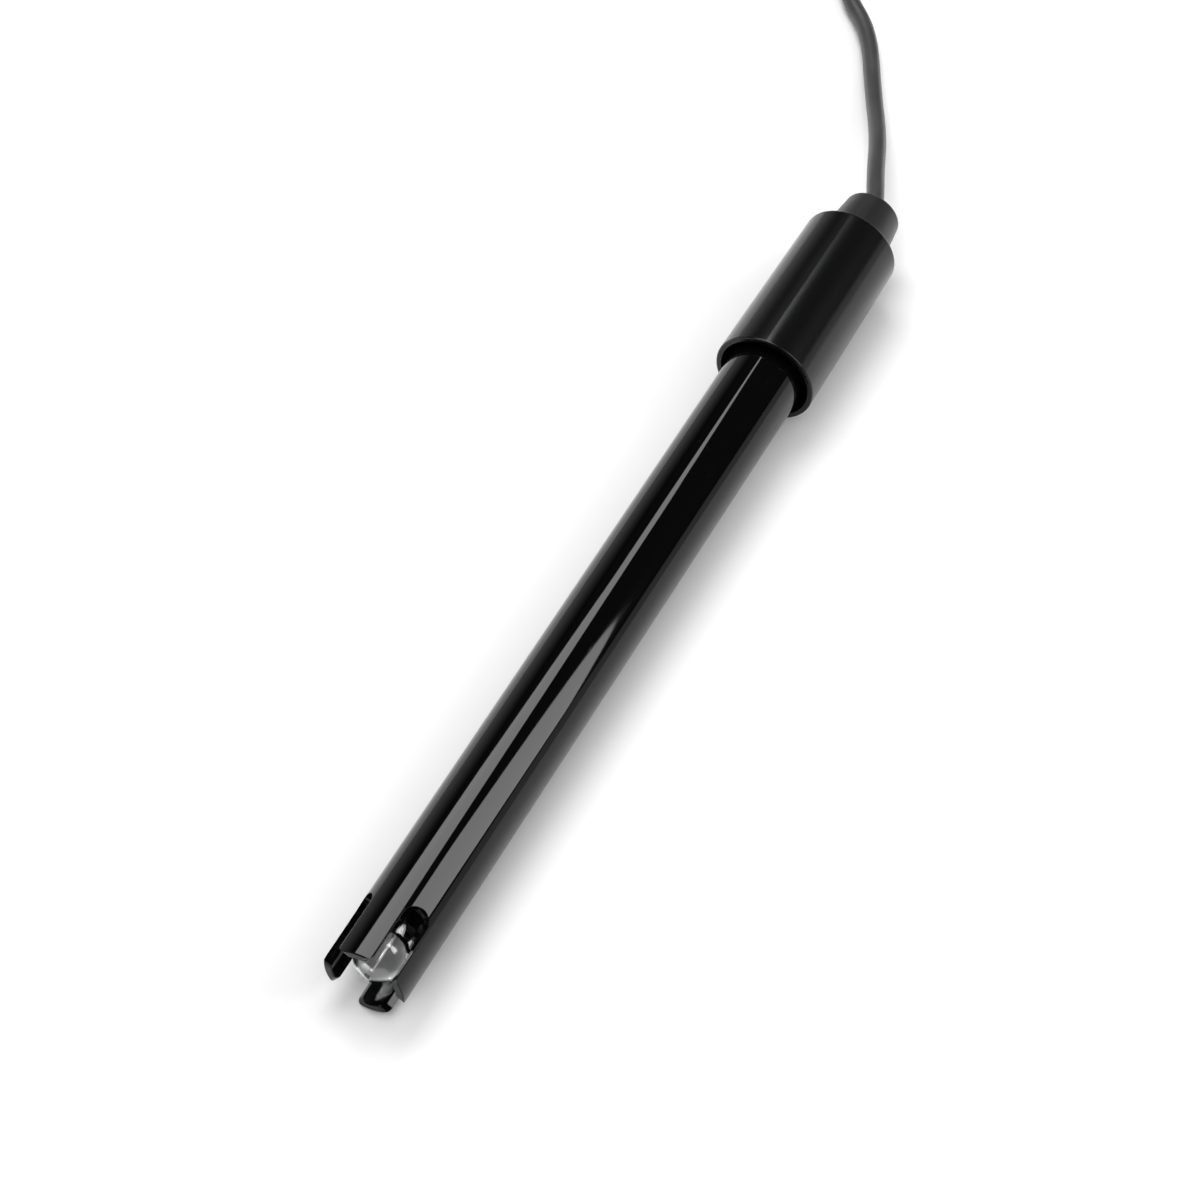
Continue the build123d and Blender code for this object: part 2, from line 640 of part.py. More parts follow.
# Plug body: spring fingers, flange, neck, collar and crimp tube in one turned piece
FINGER_R = FINGER_OD / 2
BORE_R = INSULATOR_OD / 2 + FIT
plug_blank = turned(
    plug,
    (FINGER_START, FINGER_R),
    (GASKET_SEAT_START, FINGER_R),
    (GASKET_SEAT_START, GASKET_SEAT_OD / 2),
    (FLANGE_START, GASKET_SEAT_OD / 2),
    (FLANGE_START, NUT_BORE / 2 - NUT_RUNNING_GAP),
    (FLANGE_END, NUT_BORE / 2 - NUT_RUNNING_GAP),
    (FLANGE_END, NECK_OD / 2),
    (COLLAR_START, NECK_OD / 2),
    (COLLAR_START, COLLAR_OD / 2 - COLLAR_EDGE),
    (COLLAR_START + COLLAR_EDGE, COLLAR_OD / 2),
    (COLLAR_END - COLLAR_EDGE, COLLAR_OD / 2),
    (COLLAR_END, COLLAR_OD / 2 - COLLAR_EDGE),
    (COLLAR_END, CRIMP_OD / 2),
    (CRIMP_END, CRIMP_OD / 2),
    (CRIMP_END, CRIMP_BORE / 2),
    (INSULATOR_END + SEAT, CRIMP_BORE / 2),
    (INSULATOR_END + SEAT, BORE_R),
    (INSULATOR_START - SEAT, BORE_R),
    (INSULATOR_START - SEAT, FINGER_R - FINGER_WALL),
    (FINGER_START, FINGER_R - FINGER_WALL),
)
with BuildPart() as plug_body:
    add(plug_blank)
    for finger in range(FINGER_COUNT):
        with BuildSketch(side_plane(plug, FINGER_TURN + finger * 360 / FINGER_COUNT, FINGER_START)):
            Rectangle(FINGER_DEPTH, FINGER_GAP, align=(Align.MIN, Align.CENTER))
        extrude(amount=FINGER_OD, mode=Mode.SUBTRACT)
finish("plug_body", plug_body.part)

# Insulator with the stepped bore that holds the contact pin
finish(
    "plug_insulator",
    turned(
        plug,
        (INSULATOR_START, INSULATOR_OD / 2),
        (INSULATOR_END, INSULATOR_OD / 2),
        (INSULATOR_END, PIN_COLLAR_OD / 2 + FIT),
        (PIN_COLLAR_START - SEAT, PIN_COLLAR_OD / 2 + FIT),
        (PIN_COLLAR_START - SEAT, PIN_SHANK_OD / 2 + FIT),
        (INSULATOR_START, PIN_SHANK_OD / 2 + FIT),
    ),
)

# Contact pin with its shank and crimp collar
with BuildPart() as contact_pin:
    with BuildSketch(profile_plane(plug)):
        with BuildLine():
            Line((PIN_START, 0), (PIN_START, PIN_OD / 2 - PIN_NOSE))
            RadiusArc((PIN_START, PIN_OD / 2 - PIN_NOSE), (PIN_START + PIN_NOSE, PIN_OD / 2), PIN_NOSE)
            Polyline(
                (PIN_START + PIN_NOSE, PIN_OD / 2),
                (PIN_SHANK_START, PIN_OD / 2),
                (PIN_SHANK_START, PIN_SHANK_OD / 2),
                (PIN_COLLAR_START, PIN_SHANK_OD / 2),
                (PIN_COLLAR_START, PIN_COLLAR_OD / 2),
                (PIN_END, PIN_COLLAR_OD / 2),
                (PIN_END, 0),
                (PIN_START, 0),
            )
        make_face()
    revolve(axis=spindle(plug))
finish("contact_pin", contact_pin.part)

# Gasket in front of the flange, on its seat behind the fingers
with BuildPart() as plug_gasket:
    with BuildSketch(plug.offset(GASKET_START)):
        Circle(NUT_MOUTH / 2 - GASKET_GAP)
        Circle(GASKET_SEAT_OD / 2 + FIT, mode=Mode.SUBTRACT)
    extrude(amount=FLANGE_START - SEAT - GASKET_START)
finish("plug_gasket", plug_gasket.part)

# Wave washer behind the flange: pushes the nut back
wave_middle = FLANGE_END + SEAT + (WAVE_HEIGHT - WAVE_THICKNESS) / 2
wave_r = (NECK_OD + NUT_BORE) / 4


def wave_points(radius):
    """Points of one edge of the wave washer."""
    count = WAVE_COUNT * WAVE_POINTS
    swing = (WAVE_HEIGHT - WAVE_THICKNESS) / 2
    turns = [2 * pi * k / count for k in range(count)]
    return [(radius * cos(a), radius * sin(a), swing * cos(WAVE_COUNT * a)) for a in turns]


with BuildPart() as wave_washer:
    with BuildLine(plug.offset(wave_middle)) as inner_edge:
        Spline(*wave_points(wave_r - WAVE_WIDTH / 2), periodic=True)
    with BuildLine(plug.offset(wave_middle)) as outer_edge:
        Spline(*wave_points(wave_r + WAVE_WIDTH / 2), periodic=True)
    wavy_face = Face.make_surface_from_curves(inner_edge.edges()[0], outer_edge.edges()[0])
    extrude(wavy_face, amount=WAVE_THICKNESS, dir=plug.z_dir)
finish("wave_washer", wave_washer.part)

# Thrust washer between wave washer and retaining ring: slides, but doesn't turn
THRUST_START = FLANGE_END + WAVE_HEIGHT + 2 * SEAT
THRUST_END = THRUST_START + THRUST_THICKNESS
with BuildPart() as thrust_washer:
    with BuildSketch(plug.offset(THRUST_START)):
        Circle(NUT_BORE / 2 - NUT_RUNNING_GAP)
        Circle(NECK_OD / 2 + NUT_RUNNING_GAP, mode=Mode.SUBTRACT)
    extrude(amount=THRUST_THICKNESS)
finish("thrust_washer", thrust_washer.part)

# Retaining ring: snapped into the groove of the nut, open by a gap
RING_START = THRUST_END + SEAT
RING_R = NUT_BORE / 2 + RING_BITE
with BuildPart() as retaining_ring:
    with BuildSketch(plug.offset(RING_START)):
        Circle(RING_R)
        Circle(RING_R - RING_WIDTH, mode=Mode.SUBTRACT)
        with BuildLine():
            Polyline(
                (0, 0),
                (NUT_BORE, NUT_BORE * tan(radians(RING_GAP / 2))),
                (NUT_BORE, -NUT_BORE * tan(radians(RING_GAP / 2))),
                close=True,
            )
        make_face(mode=Mode.SUBTRACT)
    extrude(amount=RING_THICKNESS)
finish("retaining_ring", retaining_ring.part)

# Coupling nut: knurled grip, smooth front with two bayonet ramps, and the ring's groove
nut_blank = turned(
    plug,
    (0, NUT_MOUTH / 2),
    (0, NUT_FRONT_OD / 2 - NUT_FRONT_EDGE),
    (NUT_FRONT_EDGE, NUT_FRONT_OD / 2),
    (NUT_FRONT_LENGTH, NUT_FRONT_OD / 2),
    (NUT_FRONT_LENGTH, NUT_GRIP_OD / 2 - NUT_GRIP_EDGE),
    (NUT_FRONT_LENGTH + NUT_GRIP_EDGE, NUT_GRIP_OD / 2),
    (NUT_LENGTH - NUT_GRIP_EDGE, NUT_GRIP_OD / 2),
    (NUT_LENGTH, NUT_GRIP_OD / 2 - NUT_GRIP_EDGE),
    (NUT_LENGTH, NUT_BORE / 2),
    (RING_START + RING_THICKNESS + SEAT, NUT_BORE / 2),
    (RING_START + RING_THICKNESS + SEAT, RING_R + FIT),
    (RING_START - SEAT, RING_R + FIT),
    (RING_START - SEAT, NUT_BORE / 2),
    (NUT_SHOULDER, NUT_BORE / 2),
    (NUT_SHOULDER, NUT_MOUTH / 2),
)
ramp_r = (NUT_MOUTH + NUT_FRONT_OD) / 4
ramp_depth = NUT_FRONT_OD - NUT_MOUTH
with BuildPart() as coupling_nut:
    add(nut_blank)
    with BuildSketch(plug.offset(NUT_FRONT_LENGTH)):
        with PolarLocations(NUT_GRIP_OD / 2, GROOVE_COUNT):
            Circle(GROOVE_OD / 2)
    extrude(amount=NUT_LENGTH - NUT_FRONT_LENGTH, mode=Mode.SUBTRACT)
    for ramp in range(RAMP_COUNT):
        start_turn = ramp * 360 / RAMP_COUNT
        # Straight entry from the front edge
        with BuildSketch(side_plane(plug, start_turn)):
            Rectangle(RAMP_ENTRY, RAMP_WIDTH, align=(Align.MIN, Align.CENTER))
        extrude(amount=NUT_FRONT_OD, mode=Mode.SUBTRACT)
        # Round turn of the entry into the ramp, and the round lock at its end
        for turn, station, size in (
            (start_turn, RAMP_ENTRY, RAMP_WIDTH),
            (start_turn + RAMP_SWEEP, RAMP_ENTRY + RAMP_RISE, RAMP_END_OD),
        ):
            with BuildSketch(side_plane(plug, turn, station)):
                Circle(size / 2)
            extrude(amount=NUT_FRONT_OD, mode=Mode.SUBTRACT)
        # Helical ramp between them
        ramp_frame = Plane(
            origin=plug.offset(RAMP_ENTRY).origin,
            x_dir=side_plane(plug, start_turn).z_dir,
            z_dir=plug.z_dir,
        )
        with BuildLine(ramp_frame) as path:
            Helix(RAMP_RISE * 360 / RAMP_SWEEP, RAMP_RISE, ramp_r)
        with BuildSketch(Plane(origin=path.line @ 0, x_dir=ramp_frame.z_dir, z_dir=path.line % 0)):
            Rectangle(RAMP_WIDTH, ramp_depth)
        sweep(path=path.line, is_frenet=True, mode=Mode.SUBTRACT)
finish("coupling_nut", coupling_nut.part)

# Crimp ferrule: plain ring ends with a six-sided crimp between them
with BuildPart() as crimp_ferrule:
    with BuildSketch(plug.offset(COLLAR_END + SEAT)):
        RegularPolygon(FERRULE_FLATS / 2, 6, major_radius=False)
    extrude(amount=FERRULE_END - COLLAR_END - SEAT)
    for start, length in (
        (COLLAR_END + SEAT, FERRULE_PLAIN),
        (FERRULE_END - FERRULE_PLAIN, FERRULE_PLAIN),
    ):
        with BuildSketch(plug.offset(start)):
            Circle(FERRULE_OD / 2)
        extrude(amount=length)
    with BuildSketch(plug.offset(COLLAR_END)):
        Circle(CRIMP_OD / 2 + FIT)
    extrude(amount=FERRULE_END, mode=Mode.SUBTRACT)
finish("crimp_ferrule", crimp_ferrule.part)

# Cable end and core inside the plug
PLUG_JACKET_START = CRIMP_END + SEAT
with BuildPart() as cable_plug_end:
    with BuildSketch(plug.offset(PLUG_JACKET_START)):
        Circle(CABLE_R)
    extrude(amount=BOOT_END - PLUG_JACKET_START)
finish("cable_plug_end", cable_plug_end.part)
with BuildPart() as plug_core:
    with BuildSketch(plug.offset(PIN_END)):
        Circle(CORE_R)
    extrude(amount=PLUG_JACKET_START - PIN_END)
finish("plug_core", plug_core.part)

# Boot: rubber sleeve over the ferrule, tapered and ribbed towards the cable
boot_bore_r = FERRULE_FLATS / 2 / cos(radians(30)) + FIT  # clears the corners of the crimp
taper_start = BOOT_START + BOOT_STRAIGHT
taper_slope = (BOOT_FRONT_OD - BOOT_TAIL_OD) / 2 / (BOOT_END - taper_start)
boot_blank = turned(
    plug,
    (BOOT_START, boot_bore_r),
    (BOOT_START, BOOT_FRONT_OD / 2),
    (taper_start, BOOT_FRONT_OD / 2),
    (BOOT_END, BOOT_TAIL_OD / 2),
    (BOOT_END, CABLE_R + FIT),
    (FERRULE_END + SEAT, CABLE_R + FIT),
    (FERRULE_END + SEAT, boot_bore_r),
)
with BuildPart() as plug_boot:
    add(boot_blank)
    for rib in range(RIB_COUNT):
        start = BOOT_END - (rib + 1) * RIB_PITCH - RIB_GAP / 2
        surface_r = BOOT_TAIL_OD / 2 + (BOOT_END - start - RIB_GAP) * taper_slope
        with BuildSketch(plug.offset(start)):
            Circle(BOOT_FRONT_OD / 2)
            Circle(surface_r - RIB_DEPTH, mode=Mode.SUBTRACT)
        extrude(amount=RIB_GAP, mode=Mode.SUBTRACT)
finish("plug_boot", plug_boot.part)

print("electrode frame", probe, "tilt", round(degrees(TILT), 3))
print("plug frame", plug, "lean", round(degrees(LEAN), 3))
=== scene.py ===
"""Dresses a combination pH electrode with its cable and bayonet plug, and lights it on a pale table.

Every length is in metres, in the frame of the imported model. The electrode lies along X with
its bulb towards -X, and its cable runs to +X, where the rest of it is put away in a tied coil.
"""

import logging  # noqa: E402
from abc import ABC, abstractmethod  # noqa: E402
from dataclasses import dataclass, field  # noqa: E402
from enum import Enum  # noqa: E402
from math import cos, floor, pi, radians, sin  # noqa: E402
from typing import Any, Union  # noqa: E402

import bmesh  # noqa: E402
import bpy  # noqa: E402
from mathutils import Matrix, Vector  # noqa: E402

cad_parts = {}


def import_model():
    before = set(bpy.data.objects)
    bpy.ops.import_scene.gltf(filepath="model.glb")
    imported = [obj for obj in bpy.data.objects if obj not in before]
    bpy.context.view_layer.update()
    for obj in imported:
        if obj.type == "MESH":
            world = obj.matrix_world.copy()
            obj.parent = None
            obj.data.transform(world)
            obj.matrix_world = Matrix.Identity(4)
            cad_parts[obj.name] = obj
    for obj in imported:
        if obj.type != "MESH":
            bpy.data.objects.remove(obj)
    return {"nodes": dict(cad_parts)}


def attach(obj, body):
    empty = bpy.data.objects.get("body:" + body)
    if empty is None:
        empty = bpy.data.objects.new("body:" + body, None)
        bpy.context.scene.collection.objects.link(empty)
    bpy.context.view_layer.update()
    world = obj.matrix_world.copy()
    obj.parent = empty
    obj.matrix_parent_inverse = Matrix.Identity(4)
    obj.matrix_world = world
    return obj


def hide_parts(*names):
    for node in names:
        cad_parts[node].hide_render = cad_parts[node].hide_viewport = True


LOG = logging.getLogger("ph_electrode")

Triple = tuple[float, float, float]
BODY = "electrode"

# The electrode's axis rises by its tilt from -X to +X, and the plug's axis points down its nut.
TILT = radians(0.8948)
PLUG_FRONT = Vector((0.255169, 0.014942, 0.009681))
PLUG_BACK = Vector((-0.959235, 0.221457, -0.175573))


class Slot(Enum):
    """The finishes of the record that the pieces take."""

    TUBE_BLACK = "tube_black"
    CLEAR_GLASS = "clear_glass"
    BUFFER = "buffer"
    SILVER = "silver"
    SILICONE = "silicone"
    SLEEVING = "sleeving"
    CERAMIC = "ceramic"
    GEL = "gel"
    WHITE_MOULDING = "white_moulding"
    POTTING = "potting"
    CAP_BLACK = "cap_black"
    RELIEF_RUBBER = "relief_rubber"
    CABLE_JACKET = "cable_jacket"
    CORE_INSULATION = "core_insulation"
    BRAID = "braid"
    TIE_NYLON = "tie_nylon"
    NICKEL = "nickel"
    SPRING_STEEL = "spring_steel"
    GOLD = "gold"


# --- Shader expressions ---


class Signal:
    """An output socket. The usual operators on it add Math, Vector Math or Mix nodes."""

    def __init__(self, graph: "Graph", socket: bpy.types.NodeSocket) -> None:
        """Wraps a socket.

        Args:
            graph: The node tree that the socket belongs to.
            socket: The output socket.
        """
        self.graph = graph
        self.socket = socket

    @property
    def many(self) -> bool:
        """Whether this is a vector or a colour."""
        return self.socket.type in {"RGBA", "VECTOR"}

    def _join(self, operation: str, left: "Value", right: "Value") -> "Signal":
        """Adds the node for one operator.

        Args:
            operation: The operation, by its name in a Math node.
            left: The value on the left of the operator.
            right: The value on its right.

        Returns:
            The result's socket.
        """
        vector = any(
            isinstance(side, tuple) or (isinstance(side, Signal) and side.many)
            for side in (left, right)
        )
        if not vector:
            return self.graph.node("Math", {"operation": operation}, {0: left, 1: right})
        sides = [(side,) * 3 if isinstance(side, (int, float)) else side for side in (left, right)]
        return self.graph.node(
            "VectorMath", {"operation": operation}, {0: sides[0], 1: sides[1]}
        )

    def __add__(self, other: "Value") -> "Signal":
        """self + other."""
        return self._join("ADD", self, other)

    def __radd__(self, other: "Value") -> "Signal":
        """other + self."""
        return self._join("ADD", other, self)

    def __sub__(self, other: "Value") -> "Signal":
        """self - other."""
        return self._join("SUBTRACT", self, other)

    def __rsub__(self, other: "Value") -> "Signal":
        """other - self."""
        return self._join("SUBTRACT", other, self)

    def __mul__(self, other: "Value") -> "Signal":
        """self * other."""
        return self._join("MULTIPLY", self, other)

    def __rmul__(self, other: "Value") -> "Signal":
        """other * self."""
        return self._join("MULTIPLY", other, self)

    def __abs__(self) -> "Signal":
        """The value without its sign."""
        return self.graph.node("Math", {"operation": "ABSOLUTE"}, {0: self})

    def dot(self, direction: Triple) -> "Signal":
        """How far this vector reaches along a direction."""
        return self.graph.node(
            "VectorMath", {"operation": "DOT_PRODUCT"}, {0: self, 1: direction}, "Value"
        )

    def step(self, low: float, high: float) -> "Signal":
        """A smooth mask: 0 where this value is at low, 1 where it is at high."""
        return self.graph.node(
            "MapRange",
            {"interpolation_type": "SMOOTHSTEP"},
            {"Value": self, "From Min": low, "From Max": high},
        )


Value = Union[Signal, float, tuple]


class Graph:
    """The node tree of one material."""

    def __init__(self, name: str) -> None:
        """Starts an empty material of that name."""
        self.material = bpy.data.materials.new(name)
        self.material.use_nodes = True
        self.tree = self.material.node_tree
        self.tree.nodes.clear()

    def node(
        self,
        kind: str,
        settings: dict[str, Any] | None = None,
        inputs: dict[Any, Value] | None = None,
        output: int | str = 0,
    ) -> Signal:
        """Adds a node, sets it and joins it up.

        Args:
            kind: The node's type, without its ShaderNode prefix.
            settings: Its properties, which are set first.
            inputs: Values or links for its sockets, by name or by number.
            output: The socket that the result is read from.

        Returns:
            That output as a signal.
        """
        made = self._add(kind, settings or {}, inputs or {})
        return Signal(self, self._socket(made.outputs, output))

    def _add(
        self, kind: str, settings: dict[str, Any], inputs: dict[Any, Value]
    ) -> bpy.types.Node:
        """Makes a node, sets its properties and then feeds its sockets.

        Args:
            kind: The node's type, without its prefix.
            settings: Its properties.
            inputs: Values or links for its sockets.

        Returns:
            The node.
        """
        made = self.tree.nodes.new("ShaderNode" + kind)
        for name, value in settings.items():
            setattr(made, name, value)
        for key, value in inputs.items():
            self._feed(self._socket(made.inputs, key), value)
        return made

    @staticmethod
    def _socket(sockets: Any, key: int | str) -> bpy.types.NodeSocket:
        """The socket in use that has that name or number."""
        if isinstance(key, int):
            return sockets[key]
        return next(one for one in sockets if one.name == key and one.enabled)

    def _feed(self, socket: bpy.types.NodeSocket, value: Value) -> None:
        """Links or sets one input socket."""
        if isinstance(value, Signal):
            self.tree.links.new(value.socket, socket)
        elif socket.type == "RGBA" and len(value) == 3:
            socket.default_value = (*value, 1.0)
        else:
            socket.default_value = value

    def place(self) -> Signal:
        """The point on the object at rest, in metres."""
        return self.node("TexCoord", output="Object")

    def along_tube(self) -> Signal:
        """The point on the object, with X along the axis of the electrode."""
        return self.node(
            "Mapping", {}, {"Vector": self.place(), "Rotation": (0.0, TILT, 0.0)}
        )

    def noise(self, at: Signal, scale: float, detail: float = 2.0, rough: float = 0.5) -> Signal:
        """Fractal noise from 0 to 1.

        Args:
            at: The point that it is read at.
            scale: Its grains to a metre.
            detail: How many finer layers it has.
            rough: How strong those are.

        Returns:
            The noise as a number.
        """
        return self.node(
            "TexNoise", {}, {"Vector": at, "Scale": scale, "Detail": detail, "Roughness": rough}
        )

    def mix(self, share: Value, first: Value, second: Value) -> Signal:
        """Goes from the first colour to the second as share goes from 0 to 1."""
        return self.node(
            "Mix",
            {"data_type": "RGBA"},
            {"Factor": share, "A": first, "B": second},
            "Result",
        )

    def relief(
        self, height: Signal, depth: float, strength: float = 1.0, edge: float = 0.0
    ) -> Signal:
        """A normal with fine relief, and with softly broken edges where edge isn't 0.

        Args:
            height: The height, from 0 to 1.
            depth: What 1 stands for, in metres.
            strength: How much of it shows.
            edge: The radius of the broken edges, in metres.

        Returns:
            The normal.
        """
        inputs: dict[Any, Value] = {"Height": height, "Distance": depth, "Strength": strength}
        if edge:
            inputs["Normal"] = self.node("Bevel", {"samples": 8}, {"Radius": edge})
        return self.node("Bump", {}, inputs)

    def finish(self, **inputs: Value) -> bpy.types.Material:
        """Ends the tree in one Principled shader.

        Args:
            inputs: Its sockets, with _ for each space in a name.

        Returns:
            The finished material.
        """
        named = {key.replace("_", " "): value for key, value in inputs.items()}
        self._add("OutputMaterial", {}, {"Surface": self.node("BsdfPrincipled", {}, named)})
        return self.material

    def glow(self, colour: Value, strength: float) -> bpy.types.Material:
        """Ends the tree in one Emission shader.

        Args:
            colour: The colour of the light.
            strength: How bright it is.

        Returns:
            The finished material.
        """
        light = self.node("Emission", {}, {"Color": colour, "Strength": strength})
        self._add("OutputMaterial", {}, {"Surface": light})
        return self.material


# --- Finishes ---


class Finish(ABC):
    """What one kind of surface is made of."""

    name: str

    @abstractmethod
    def shade(self, graph: Graph) -> bpy.types.Material:
        """Builds the node tree."""

    def material(self) -> bpy.types.Material:
        """The material, made once."""
        return self.shade(Graph(self.name))


@dataclass(frozen=True)
class PolishedTube(Finish):
    """Black thermoplastic with a glossy skin, handled and wiped but clean."""

    name: str = "polished_black_tube"
    colour: Triple = (0.0018, 0.0018, 0.0020)
    dust: Triple = (0.070, 0.070, 0.072)
    gloss: float = 0.035
    scuffed: float = 0.26
    edge: float = 0.00005
    ior: float = 1.37

    def shade(self, graph: Graph) -> bpy.types.Material:
        """Draw lines along the tube, patches of wiping, hairline scratches and specks."""
        at = graph.along_tube()
        wiped = graph.noise(at * (0.5, 1.0, 1.0), 46.0, 3.0, 0.6).step(0.56, 0.78)
        hairline = graph.noise(at * (1.0, 26.0, 26.0), 160.0, 3.0, 0.65).step(0.66, 0.74)
        speck = graph.noise(at, 2600.0, 1.0, 0.4).step(0.80, 0.86)
        drawn = graph.noise(at * (1.0, 60.0, 60.0), 30.0, 2.0)
        scuff = hairline * (0.25 + wiped * 0.75)
        return graph.finish(
            Base_Color=graph.mix(speck * 0.6 + scuff * 0.12, self.colour, self.dust),
            Roughness=self.gloss + wiped * 0.03 + scuff * self.scuffed + speck * 0.4,
            IOR=self.ior,
            Normal=graph.relief(drawn + scuff * 0.5, 0.0000022, 0.6, self.edge),
        )


@dataclass(frozen=True)
class SatinCap(Finish):
    """Black moulded plastic with a fine satin skin."""

    name: str = "satin_black_cap"
    colour: Triple = (0.0026, 0.0026, 0.0028)
    worn: Triple = (0.011, 0.011, 0.011)
    satin: float = 0.13
    edge: float = 0.00018
    ior: float = 1.41

    def shade(self, graph: Graph) -> bpy.types.Material:
        """Spark-eroded grain, slow flow marks along the cap and a trace of handling."""
        at = graph.along_tube()
        grain = graph.noise(at, 7200.0, 3.0, 0.62)
        flow = graph.noise(at * (1.0, 5.0, 5.0), 70.0, 2.0)
        rub = graph.noise(at * (1.0, 14.0, 14.0), 240.0, 2.0, 0.6).step(0.62, 0.76)
        return graph.finish(
            Base_Color=graph.mix(grain * 0.4 + rub * 0.25, self.colour, self.worn),
            Roughness=self.satin + grain * 0.06 + flow * 0.03 - rub * 0.03,
            IOR=self.ior,
            Normal=graph.relief(grain, 0.0000035, 0.4, self.edge),
        )


@dataclass(frozen=True)
class MouldedRubber(Finish):
    """Matte elastomer with a stippled skin and a faint parting line."""

    name: str = "moulded_rubber"
    colour: Triple = (0.010, 0.010, 0.0104)
    bloom: Triple = (0.022, 0.022, 0.023)
    matte: float = 0.30
    across: Triple = (0.0, 1.0, 0.0)
    seam_at: float = 0.0
    edge: float = 0.00025

    def shade(self, graph: Graph) -> bpy.types.Material:
        """Stipple, bloom in patches, and the mould's parting line down the side."""
        at = graph.place()
        stipple = graph.noise(at, 5200.0, 2.0, 0.7)
        patch = graph.noise(at, 260.0, 3.0).step(0.42, 0.72)
        seam = 1.0 - abs(at.dot(self.across) - self.seam_at).step(0.00004, 0.00013)
        return graph.finish(
            Base_Color=graph.mix(patch * 0.55 + stipple * 0.25, self.colour, self.bloom),
            Roughness=self.matte + stipple * 0.16 - patch * 0.05,
            IOR=1.5,
            Normal=graph.relief(stipple + seam * 1.4, 0.000022, 0.55, self.edge),
        )


@dataclass(frozen=True)
class ExtrudedJacket(Finish):
    """Extruded cable jacket, satin and slightly uneven."""

    name: str = "cable_jacket_grey"
    colour: Triple = (0.040, 0.040, 0.041)
    pale: Triple = (0.062, 0.062, 0.063)
    satin: float = 0.28

    def shade(self, graph: Graph) -> bpy.types.Material:
        """Fine stipple of the die, and soft changes of tone along the length."""
        at = graph.place()
        skin = graph.noise(at, 3600.0, 2.0, 0.6)
        tone = graph.noise(at, 190.0, 3.0).step(0.35, 0.75)
        return graph.finish(
            Base_Color=graph.mix(tone * 0.7 + skin * 0.2, self.colour, self.pale),
            Roughness=self.satin + skin * 0.14 + tone * 0.05,
            IOR=1.5,
            Normal=graph.relief(skin, 0.000014, 0.5),
        )


@dataclass(frozen=True)
class BlownGlass(Finish):
    """Clear laboratory glass, drawn and blown."""

    name: str = "blown_glass"
    tint: Triple = (0.985, 0.992, 0.988)
    ior: float = 1.49
    smear: float = 0.035

    def shade(self, graph: Graph) -> bpy.types.Material:
        """Faint ripples from the flame and the last trace of a wiped smear."""
        at = graph.place()
        ripple = graph.noise(at, 420.0, 2.0)
        smear = graph.noise(at * (1.0, 3.0, 1.0), 900.0, 2.0, 0.6).step(0.60, 0.80)
        return graph.finish(
            Base_Color=self.tint,
            Roughness=smear * self.smear,
            IOR=self.ior,
            Transmission_Weight=1.0,
            Normal=graph.relief(ripple, 0.00002, 0.35),
        )


@dataclass(frozen=True)
class ClearFilling(Finish):
    """A clear or cloudy filling, liquid or gel."""

    name: str
    tint: Triple
    cloud: Triple
    ior: float = 1.34
    clarity: float = 1.0
    haze: float = 0.0

    def shade(self, graph: Graph) -> bpy.types.Material:
        """A filling that is a little uneven."""
        drift = graph.noise(graph.place(), 500.0, 3.0).step(0.3, 0.8)
        return graph.finish(
            Base_Color=graph.mix(drift, self.tint, self.cloud),
            Roughness=drift * self.haze,
            IOR=self.ior,
            Transmission_Weight=self.clarity,
        )


@dataclass(frozen=True)
class TurnedMetal(Finish):
    """Metal turned on a lathe, plated or bright, with fine rings round its axis."""

    name: str
    colour: Triple
    shadow: Triple
    gloss: float = 0.17
    origin: Triple = tuple(PLUG_FRONT)
    axis: Triple = tuple(PLUG_BACK)
    rings: float = 14000.0
    ring_depth: float = 0.0000030
    edge: float = 0.00006

    def shade(self, graph: Graph) -> bpy.types.Material:
        """Tool rings, a stain in the plating and small knocks."""
        at = graph.place()
        along = (at - self.origin).dot(self.axis)
        ring = graph.node(
            "TexNoise",
            {"noise_dimensions": "1D"},
            {"W": along, "Scale": self.rings, "Detail": 3.0, "Roughness": 0.7},
        )
        stain = graph.noise(at, 330.0, 4.0, 0.6).step(0.40, 0.78)
        knock = graph.noise(at, 3100.0, 2.0, 0.5).step(0.72, 0.80)
        return graph.finish(
            Base_Color=graph.mix(stain * 0.5 + knock * 0.3, self.colour, self.shadow),
            Metallic=1.0,
            Roughness=self.gloss + ring * 0.10 + stain * 0.08 + knock * 0.15,
            Normal=graph.relief(ring + knock * 0.8, self.ring_depth, 0.6, self.edge),
        )


@dataclass(frozen=True)
class DrawnWire(Finish):
    """Drawn metal wire or rolled spring strip."""

    name: str
    colour: Triple
    tarnish: Triple
    gloss: float = 0.24

    def shade(self, graph: Graph) -> bpy.types.Material:
        """Draw marks and tarnish in patches."""
        at = graph.along_tube()
        drawn = graph.noise(at * (1.0, 40.0, 40.0), 220.0, 2.0)
        dull = graph.noise(at, 640.0, 4.0, 0.6).step(0.38, 0.72)
        return graph.finish(
            Base_Color=graph.mix(dull, self.colour, self.tarnish),
            Metallic=1.0,
            Roughness=self.gloss + drawn * 0.12 + dull * 0.14,
            Normal=graph.relief(drawn, 0.000004, 0.5),
        )


